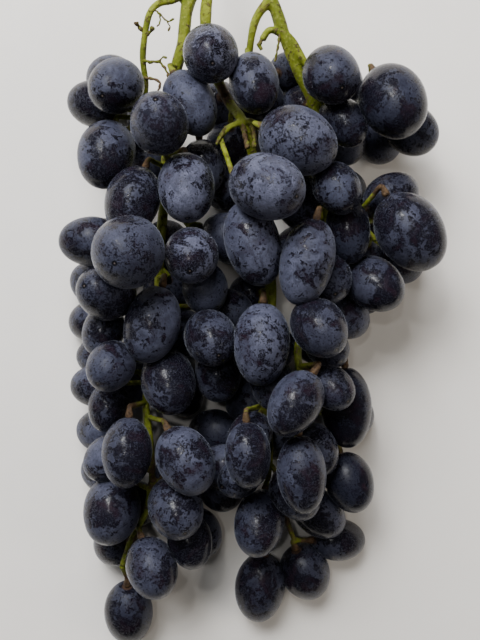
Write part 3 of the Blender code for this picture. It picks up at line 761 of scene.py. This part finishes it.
def push_from_segments(berries, starts, ends, radii, skip=None):
    """How far each berry and each segment have to part, and which way."""
    share, offset = nearest_on_segments(berries.middle, starts, ends)
    distance = np.linalg.norm(offset, axis=2)
    unit = offset / distance[..., None]
    slant = np.einsum("ijk,ik->ij", unit, berries.axis)
    reach = (berries.support(slant.T) * BERRY_FACETS_SWELL).T + radii[None] + GAP
    short = np.maximum(reach - distance, 0)
    if skip is not None:
        short[skip] = 0
    return share, short, unit


def settle(berries, runs):
    """Let the berries and stalks find their places: near where they are seen, resting on the
    surface, clear of the stem, each group holding together. Returns each stalk's points."""
    starts = np.vstack([run[:-1] for run, radii in runs.values()])
    ends = np.vstack([run[1:] for run, radii in runs.values()])
    radii = np.concatenate([np.maximum(radii[:-1], radii[1:]) for run, radii in runs.values()])
    add_hidden(berries, starts, ends)
    lowest = berries.height_below() - FLATTENED
    berries.middle[berries.resting, 2] = lowest[berries.resting]
    target = berries.middle.copy()
    count = len(target)
    seen = np.arange(count) < berries.seen
    front = seen & (target[:, 2] > FRONT_HEIGHT)
    ease = np.select((front, seen), EASE[:2], EASE[2])
    hold = np.select((front, seen), HOLD[:2], HOLD[2])[:, None]
    own = np.arange(count)
    pairs = None
    for turn in range(TURNS):
        if turn < SINKING_TURNS:
            target[seen, :2] = seen_at(*berries.pixel.T, berries.middle[seen, 2])[:, :2]
            berries.middle[:, :2] += hold * (target - berries.middle)[:, :2]
            berries.middle[:, 2] -= SINKING
            berries.middle[front, 2] += LIFTING * (target - berries.middle)[front, 2]
        else:
            loose = max(0.0, 1 - (turn - SINKING_TURNS) / (FADED * (TURNS - SINKING_TURNS)))
            if turn % REGROUPING == 0 and loose:
                regroup(berries)
                pairs = holding_pairs(berries)
            berries.middle += RETURNING * loose * (rest - berries.middle)
        push_berries(berries, ease, pairs)
        share, short, unit = push_from_segments(berries, starts, ends, radii)
        berries.middle += OFF_ARMS * np.einsum("ij,ijk->ik", short, unit)

        tip = berries.stalk_end()
        neck = tip - berries.axis * STALK_STRAIGHT
        if turn < SINKING_TURNS:
            share, offset = nearest_on_segments(neck, starts, ends)
            nearest = np.linalg.norm(offset, axis=2).argmin(axis=1)
            root = neck - offset[own, nearest]
            outward = berries.middle - root
            outward /= np.linalg.norm(outward, axis=1)[:, None]
            berries.axis[~front] += TURNING * (outward - berries.axis)[~front]
            berries.axis /= np.linalg.norm(berries.axis, axis=1)[:, None]
        if turn == 0:
            bends = np.stack((root + (neck - root) / 3, root + (neck - root) * 2 / 3), axis=1)
        bends[:, 0] += STRAIGHTENING * ((root + bends[:, 1]) / 2 - bends[:, 0])
        bends[:, 1] += STRAIGHTENING * ((bends[:, 0] + neck) / 2 - bends[:, 1])
        chain = np.stack((root, bends[:, 0], bends[:, 1], neck, tip), axis=1)
        stalk_radii = np.full(count * 4, STALK_RADIUS)
        stalk_radii[3::4] = STALK_FLARE
        skip = (own, own * 4 + 3)
        share, short, unit = push_from_segments(
            berries, chain[:, :-1].reshape(-1, 3), chain[:, 1:].reshape(-1, 3), stalk_radii, skip)
        berries.middle += OFF_STALKS * np.einsum("ij,ijk->ik", short, unit)
        away = -(short[..., None] * unit)
        first = (away * (1 - share)[..., None]).sum(axis=0).reshape(count, 4, 3)
        last = (away * share[..., None]).sum(axis=0).reshape(count, 4, 3)
        bends[:, 0] += STALK_YIELDING * (first[:, 1] + last[:, 0])
        bends[:, 1] += STALK_YIELDING * (first[:, 2] + last[:, 1])
        bends[:, :, 2] = np.maximum(bends[:, :, 2], STALK_RADIUS + GAP)

        lowest = berries.height_below() - FLATTENED
        berries.middle[:, 2] = np.maximum(berries.middle[:, 2], lowest)
        berries.middle = np.round(berries.middle, ROUNDED_TO)
        berries.axis = np.round(berries.axis, ROUNDED_TO)
        bends = np.round(bends, ROUNDED_TO)
        if turn < SINKING_TURNS:
            rest = berries.middle.copy()
            rest[seen, :2] = target[seen, :2]
    return chain


# The looks of a berry: how much of it the bloom covers, how many dark specks it has, how much of the
# bloom is rubbed off, and how pale the bloom is. The berries that the photograph shows well have their
# own, by their number in the groups above, and the others draw theirs.
LOOKS = {
    0: (0.75, 0.35, 0.40, 0.85), 2: (0.72, 0.25, 0.35, 0.9), 3: (0.90, 0.75, 0.15, 1.0),
    4: (0.85, 0.25, 0.15, 0.8), 6: (0.95, 0.80, 0.38, 1.25), 7: (0.70, 0.15, 0.45, 0.9),
    12: (0.50, 0.45, 0.60, 0.7), 16: (0.45, 0.50, 0.60, 0.7), 17: (0.65, 0.50, 0.40, 0.8),
    18: (0.85, 0.35, 0.35, 1.25), 19: (0.92, 0.40, 0.12, 1.1), 20: (0.85, 0.50, 0.25, 1.0),
    24: (0.80, 0.35, 0.30, 0.95), 26: (0.85, 0.55, 0.35, 1.15), 28: (0.80, 0.60, 0.30, 0.85),
    29: (0.60, 0.45, 0.40, 0.8), 30: (0.84, 0.60, 0.48, 0.8), 32: (0.80, 0.15, 0.30, 0.85),
    41: (0.65, 0.30, 0.45, 0.85), 43: (0.60, 0.50, 0.50, 0.8), 46: (0.80, 0.40, 0.30, 0.9),
    53: (0.85, 0.40, 0.25, 1.0), 55: (0.82, 0.20, 0.30, 0.95), 59: (0.55, 0.40, 0.55, 0.6),
    60: (0.50, 0.30, 0.60, 0.9), 62: (0.60, 0.35, 0.50, 0.9), 69: (0.50, 0.45, 0.55, 0.85),
    73: (0.30, 0.30, 0.65, 0.6), 74: (0.65, 0.20, 0.45, 0.8), 76: (0.35, 0.35, 0.60, 0.6),
    78: (0.64, 0.45, 0.48, 0.8), 81: (0.65, 0.50, 0.42, 0.85), 84: (0.60, 0.35, 0.50, 0.7),
    85: (0.62, 0.50, 0.48, 0.85), 90: (0.66, 0.45, 0.42, 0.8), 94: (0.60, 0.50, 0.50, 0.75),
    95: (0.55, 0.50, 0.58, 0.8), 96: (0.50, 0.50, 0.52, 0.75),
}
DRAWN_LOOKS = ((0.5, 0.9), (0.2, 0.7), (0.2, 0.6), (0.7, 1.0))

# A berry's form: how far it is an egg, how uneven, in how many waves, how deep and how wide (in
# radians from its pole) each dimple is, and how much of its overlap with a neighbour it yields
RINGS = 30
SEGMENTS = 40
EGG = 0.045
UNEVEN_BERRY = 0.012
UNEVEN_WAVES = 6
WIDEST_WAVE = 2.0
WAVE_STEP = 0.5
WAVE_FADING = 0.4
STALK_DIMPLE = 0.55
STALK_DIMPLE_WIDTH = 0.22
SCAR_DIMPLE = 0.22
SCAR_DIMPLE_WIDTH = 0.10
SQUEEZE = 0.52
LONGEST_BERRY = 15.0
BERRY_SIDEWAYS = (0.15, 0.25, 1.0)
BERRY_SEED = 23

# The colours of a berry: bare skin, thick, even and thin bloom, the style scar and the stalk's rim
BLACK_SKIN = (0.0045, 0.0040, 0.0070, 1)
PURPLE_SKIN = (0.0120, 0.0060, 0.0100, 1)
THICK_BLOOM = (0.196, 0.203, 0.290, 1)
EVEN_BLOOM = (0.102, 0.107, 0.160, 1)
THIN_BLOOM = (0.030, 0.036, 0.062, 1)
SCAR_RING = (0.004, 0.004, 0.005, 1)
SCAR_MIDDLE = (0.12, 0.09, 0.07, 1)
STALK_RIM = (0.06, 0.035, 0.022, 1)
SHEEN = (0.66, 0.70, 0.84, 1)

berries = Berries()
chain = settle(berries, coarse_runs)
chance = np.random.default_rng(BERRY_SEED)


def berry_faces():
    """The faces between the rings of a berry, closed at both poles."""
    faces = []
    last = 1 + (RINGS - 1) * SEGMENTS
    for s in range(SEGMENTS):
        after = (s + 1) % SEGMENTS
        faces.append((0, 1 + s, 1 + after))
        faces.append((last, last - SEGMENTS + after, last - SEGMENTS + s))
        for k in range(RINGS - 2):
            high = 1 + k * SEGMENTS
            low = high + SEGMENTS
            faces.append((high + s, low + s, low + after, high + after))
    return faces


def berry_form(across, along):
    """A berry round its own axis, its stalk end down: an egg, widest towards the stalk, with a dimple
    for the stalk, a smaller one for the style scar, and a slightly uneven skin."""
    polar = np.linspace(0, math.pi, RINGS + 1)
    turn = np.linspace(0, 2 * math.pi, SEGMENTS, endpoint=False)
    polar, turn = np.meshgrid(polar[1:-1], turn, indexing="ij")
    polar = np.concatenate(((0.0,), polar.ravel(), (math.pi,)))
    turn = np.concatenate(((0.0,), turn.ravel(), (0.0,)))
    way = np.stack((np.sin(polar) * np.cos(turn), np.sin(polar) * np.sin(turn), np.cos(polar)), axis=1)
    uneven = np.zeros(len(way))
    for k in range(UNEVEN_WAVES):
        wave = chance.normal(size=3)
        wave *= (WIDEST_WAVE + WAVE_STEP * k) / np.linalg.norm(wave)
        height = UNEVEN_BERRY * np.sin(way @ wave + chance.uniform(0, WHOLE_TURN))
        uneven += height / (1 + WAVE_FADING * k)
    body = 1 - EGG * way[:, 2] + EGG * way[:, 2] ** 3
    form = way * np.stack((across * body, across * body, np.full(len(way), along)), axis=1)
    form *= (1 + uneven)[:, None]
    form[:, 2] += STALK_DIMPLE * np.exp(-((math.pi - polar) / STALK_DIMPLE_WIDTH) ** 2)
    form[:, 2] -= SCAR_DIMPLE * np.exp(-(polar / SCAR_DIMPLE_WIDTH) ** 2)
    return form


def turned(axis):
    """The three directions of a berry whose far end points along the axis."""
    side = np.cross(axis, BERRY_SIDEWAYS)
    side /= np.linalg.norm(side)
    return np.stack((side, np.cross(axis, side), axis))


def squeezed(form, k):
    """The berry's skin where its neighbours and the surface press it."""
    for other in range(len(berries.middle)):
        offset = berries.middle[other] - berries.middle[k]
        distance = np.linalg.norm(offset)
        if other == k or distance > 2 * LONGEST_BERRY:
            continue
        local = (form - berries.middle[other]) @ turned(berries.axis[other]).T
        size = (berries.across[other], berries.across[other], berries.along[other])
        depth = 1 - np.linalg.norm(local / size, axis=1)
        inside = np.maximum(depth, 0) * berries.across[other]
        form = form - np.outer(inside * SQUEEZE, offset / distance)
    form[:, 2] = np.maximum(form[:, 2], 0)
    return form


def grape_finish():
    """Near-black skin under a blue-grey wax bloom. The bloom is clouded and mottled, with crisp dark
    patches where it is rubbed off, dark specks and fine cracks, and pale lace where it is only thin."""
    skin = Finish("grape_skin")
    where = skin.where("skin_place")
    bloom, specks = skin.own("bloom"), skin.own("specks")
    rubs, pale = skin.own("rubs"), skin.own("pale")
    scar = skin.own("from_scar")
    stalk = skin.own("from_stalk")

    region = skin.noise(where, 0.055, 1.0, 0.5, 0.4)
    cloud = skin.noise(where, 0.14, 3.0, 0.6, 0.8)
    mottle = skin.noise(where, 0.40, 4.0, 0.68, 0.5)
    fine = skin.noise(where, 1.25, 3.0, 0.7, 0.3)

    rubbed = region * 0.8 + cloud * 0.55 + mottle * 0.7 + fine * 0.3 + (rubs - 0.5) * 0.34
    rubbed = rubbed.above(1.13, 1.17)
    worn = region * 0.3 + cloud * 0.4 + mottle * 0.7 + fine * 0.5 + (specks - 0.5) * 0.18
    worn = worn.above(0.91, 1.00)
    speck = (fine + (mottle - 0.5) * 0.55 + (specks - 0.5) * 0.20).above(0.51, 0.56)
    lace = 1 - (skin.noise(where, 0.55, 3.0, 0.6, 1.6) - 0.5).size().above(0.0, 0.030)
    crack = 1 - (skin.noise(where, 0.42, 2.0, 0.55, 1.2) - 0.5).size().above(0.0, 0.016)

    cover = bloom * (0.26 + 0.94 * mottle.above(0.25, 0.75)) * (2.8 * fine - 0.4)
    cover = cover * (1 - worn * 0.70) * (1 - speck * 0.60) * (1 - crack * cloud.above(0.45, 0.6) * 0.6)
    cover = (cover * (1 - rubbed * 0.92)).larger(lace * rubbed * (0.10 + 0.60 * fine) * bloom)
    cover = cover * (1 - (1 - scar.above(0.5, 1.2)) * 0.6)

    bare = skin.mix(cloud.above(0.50, 0.75), BLACK_SKIN, PURPLE_SKIN)
    wax = skin.mix(cloud.above(0.40, 0.62), THICK_BLOOM, EVEN_BLOOM)
    wax = skin.mix(pale - 0.5, THIN_BLOOM, wax)
    colour = skin.mix(cover, bare, wax)
    ring = scar.above(0.25, 0.45) * (1 - scar.above(0.75, 1.15))
    colour = skin.mix(ring * 0.9, colour, SCAR_RING)
    colour = skin.mix((1 - scar.above(0.15, 0.4)) * 0.7, colour, SCAR_MIDDLE)
    colour = skin.mix((1 - stalk.above(1.6, 2.3)) * 0.8, colour, STALK_RIM)
    return skin.finish(
        Base_Color=colour,
        Roughness=0.16 + cover * 0.65,
        Normal=skin.bump(cover * 0.8 + fine * 0.30, 0.12),
        Sheen_Weight=0.24, Sheen_Roughness=0.18, Sheen_Tint=SHEEN, Specular_IOR_Level=0.28)


grape_skin = grape_finish()
faces = berry_faces()
replaced = [group + "_berries" for group in GROUPS]
for k in range(len(berries.middle)):
    form = berry_form(berries.across[k], berries.along[k])
    looks = LOOKS.get(k) or [chance.uniform(*range_of) for range_of in DRAWN_LOOKS]
    skin_place = form + chance.uniform(-400, 400, 3)
    from_scar = np.linalg.norm(form - form[0], axis=1)
    from_stalk = np.linalg.norm(form - form[-1], axis=1)
    form = squeezed(form @ turned(berries.axis[k]) + berries.middle[k], k)
    mesh = bpy.data.meshes.new(f"berry_{k:03d}")
    mesh.from_pydata(place(form), [], faces)
    hold(mesh, "skin_place", skin_place)
    hold(mesh, "from_scar", from_scar)
    hold(mesh, "from_stalk", from_stalk)
    for name, value in zip(("bloom", "specks", "rubs", "pale"), looks):
        hold(mesh, name, np.full(len(form), value))
    new_piece(f"berry_{k:03d}", mesh, grape_skin, "grape_skin", replaced[berries.group[k]])


# The stalks: each berry hangs on its own short green stalk, which turns brown towards the berry and
# widens into a small warty seat that the berry sits on.
STALK_STEP = 0.8
STALK_SIDES = 14
STALK_VOXEL = 0.4
STALK_RIB = 0.06
ROOT_SWELLING = 0.25
ROOT_LENGTH = 1.5
WARTS = 0.08
WART_TURN = 1.9
SEAT_RADIUS = 1.45
SEAT_LENGTH = 1.3
INTO_BERRY = 1.1

# How brown a stalk is where it starts, how much more so in the bunch's lower half and at its end, and
# at how many spots along it the browning is worked out
START_BROWN = (-0.25, 0.35)
LOWER_BROWN = 0.35
LOWER_HALF = 80
END_BROWN = 0.95
BROWN_STEPS = 23

stalk_tubes = []
stalk_tree = kdtree.KDTree(len(chain) * (BROWN_STEPS + 1))
brownings = []
for k, points in enumerate(chain):
    points = np.vstack((points, points[-1] + berries.axis[k] * INTO_BERRY))
    run = smooth_run(points, STALK_STEP)
    steps = np.arange(len(run))
    seat = np.exp(-(np.linalg.norm(run - points[-2], axis=1) / SEAT_LENGTH) ** 2)
    radii = STALK_RADIUS * (1 + ROOT_SWELLING * np.exp(-(steps * STALK_STEP / ROOT_LENGTH) ** 2))
    radii = radii * (1 + WARTS * np.sin(steps * WART_TURN + k))
    stalk_tubes.append(tube(run, radii * (1 - seat) + SEAT_RADIUS * seat, STALK_SIDES, STALK_RIB, k))
    brown = chance.uniform(*START_BROWN) + LOWER_BROWN * np.clip(-points[0][1] / LOWER_HALF, 0, 1)
    for step in range(BROWN_STEPS + 1):
        share = step / BROWN_STEPS
        stalk_tree.insert(run[round(share * (len(run) - 1))], len(brownings))
        brownings.append(brown + share ** 2 * END_BROWN)
stalk_tree.balance()
stalks_mesh = grown_together("stalks", stalk_tubes, STALK_VOXEL, 1)
stalks_place = points_of(stalks_mesh)
hold(stalks_mesh, "place", stalks_place)
hold(stalks_mesh, "browning_and_shade", [brownings[stalk_tree.find(spot)[1]] for spot in stalks_place])
new_piece("stalks", stalks_mesh, stem_finish("stalk_skin"), "stem", "stem")


# The withered bits: where flowers failed, thin brown twigs and stubs are left on the arms. Each is a
# run of points, with its radius at the first and the last, a little crooked and knotted.
TWIGS = (
    ([(152, 8, 36), (160, 14, 37), (167, 21, 37.5), (174, 19, 38)], 0.45, 0.25),
    ([(160, 14, 37), (160, 22, 37), (157, 27, 37.5)], 0.35, 0.25),
    ([(167, 21, 37.5), (170, 27, 37), (168, 31, 37)], 0.3, 0.25),
    ([(176, -1, 35), (166, -5, 37), (159, -3, 38)], 0.6, 0.5),
    ([(145, 32, 34), (139, 27, 35), (136, 22, 36)], 0.8, 0.6),
    ([(145, 36, 34), (151, 31, 35), (153, 27, 36)], 0.7, 0.55),
    ([(143, 60, 31), (150, 62, 33), (159, 62, 34), (166, 70, 34), (169, 78, 34)], 0.65, 0.4),
    ([(159, 62, 34), (163, 57, 35), (167, 58, 36)], 0.4, 0.3),
    ([(145, 78, 29), (153, 79, 31), (160, 83, 32), (157, 95, 31)], 0.6, 0.4),
    ([(280, 33, 35), (278, 46, 35), (275, 62, 34)], 0.55, 0.35),
    ([(262, 40, 34), (259, 45, 34.5), (262, 50, 34)], 0.9, 0.5),
    ([(226, 127, 33), (221, 137, 36), (216, 144, 37)], 0.7, 0.5),
    ([(243, 122, 31), (245, 136, 34), (248, 148, 36)], 1.0, 0.8),
    ([(250, 120, 34), (254, 134, 35), (254, 148, 36)], 0.9, 0.7),
    ([(262, 215, 24), (256, 180, 30), (250, 160, 30)], 0.9, 0.6),
)
TWIG_STEP = 0.5
TWIG_SIDES = 10
TWIG_VOXEL = 0.14
CROOKED = 0.12
KNOTTED = 0.2
TWIG_TIP = (1.3, 1.5, 1.2)
TWIG_BROWN = 0.62

twig_tubes = []
for number, (points, first, last) in enumerate(TWIGS):
    run = smooth_run([seen_at(*point) for point in points], TWIG_STEP)
    steps = np.arange(len(run))
    crook = np.stack((np.sin(steps * 1.7 + number), np.cos(steps * 1.3), np.sin(steps)), axis=1)
    radii = np.linspace(first, last, len(run)) * (1 + KNOTTED * np.sin(steps * 1.1 + number))
    radii[-3:] *= TWIG_TIP
    twig_tubes.append(tube(run + CROOKED * crook, radii, TWIG_SIDES))
twigs_mesh = grown_together("withered_twigs", twig_tubes, TWIG_VOXEL, 1)
hold(twigs_mesh, "place", points_of(twigs_mesh))
hold(twigs_mesh, "browning_and_shade", np.full(len(twigs_mesh.vertices), TWIG_BROWN))
new_piece("withered_twigs", twigs_mesh, stem_finish("twig_skin"), "stem")


# The stage, in metres: a plain pale surface under the bunch, and soft studio light. A wide panel over
# the stem end lights it, a weaker one lights it from the right, and the glossy skin mirrors only the
# wide panel's middle and two small windows.
FLOOR_CORNERS = [(-3.0, -3.0, 0), (3.0, -3.0, 0), (3.0, 3.0, 0), (-3.0, 3.0, 0)]
DARK_PAPER = (0.77, 0.73, 0.67, 1)
PALE_PAPER = (0.81, 0.77, 0.71, 1)
PAPER_GRAIN = 60.0
STUDIO_COLOUR = (0.93, 0.95, 1.0, 1)
STUDIO_STRENGTH = 0.05

floor_mesh = bpy.data.meshes.new("floor")
floor_mesh.from_pydata(FLOOR_CORNERS, [], [(0, 1, 2, 3)])
floor = bpy.data.objects.new("floor", floor_mesh)
bpy.context.scene.collection.objects.link(floor)
paper = Finish("pale_paper")
tooth = paper.noise(paper.node("ShaderNodeTexCoord", {}, out="Object"), PAPER_GRAIN, 3.0)
floor_mesh.materials.append(paper.finish(
    Base_Color=paper.mix(tooth, DARK_PAPER, PALE_PAPER), Roughness=0.85))


def soft_panel(name, x, y, z, width, power, colour, mirrored=True):
    """A square panel of light at this place, facing the bunch. Glossy skin mirrors it, or not."""
    lamp = bpy.data.lights.new(name, "AREA")
    lamp.size = width
    lamp.energy = power
    lamp.color = colour
    panel = bpy.data.objects.new(name, lamp)
    panel.location = (x, y, z)
    panel.visible_glossy = mirrored
    panel.rotation_euler = Vector((x, y, z)).to_track_quat("Z", "Y").to_euler()
    bpy.context.scene.collection.objects.link(panel)


soft_panel("panel_over_stem_end", -0.28, 0.66, 0.62, 0.75, 22.0, (0.94, 0.96, 1.0), mirrored=False)
soft_panel("panel_in_its_middle", -0.24, 0.55, 0.76, 0.26, 4.6, (0.97, 0.98, 1.0))
soft_panel("panel_low", 0.80, -0.10, 0.50, 0.50, 3.5, (1.0, 0.93, 0.85), mirrored=False)
soft_panel("small_window", -0.16, 0.40, 0.90, 0.04, 0.9, (1.0, 1.0, 1.0))
soft_panel("second_window", -0.12, 0.12, 0.98, 0.04, 0.7, (1.0, 1.0, 1.0))
world = bpy.data.worlds.new("studio")
world.use_nodes = True
world.node_tree.nodes["Background"].inputs[0].default_value = STUDIO_COLOUR
world.node_tree.nodes["Background"].inputs[1].default_value = STUDIO_STRENGTH
bpy.context.scene.world = world
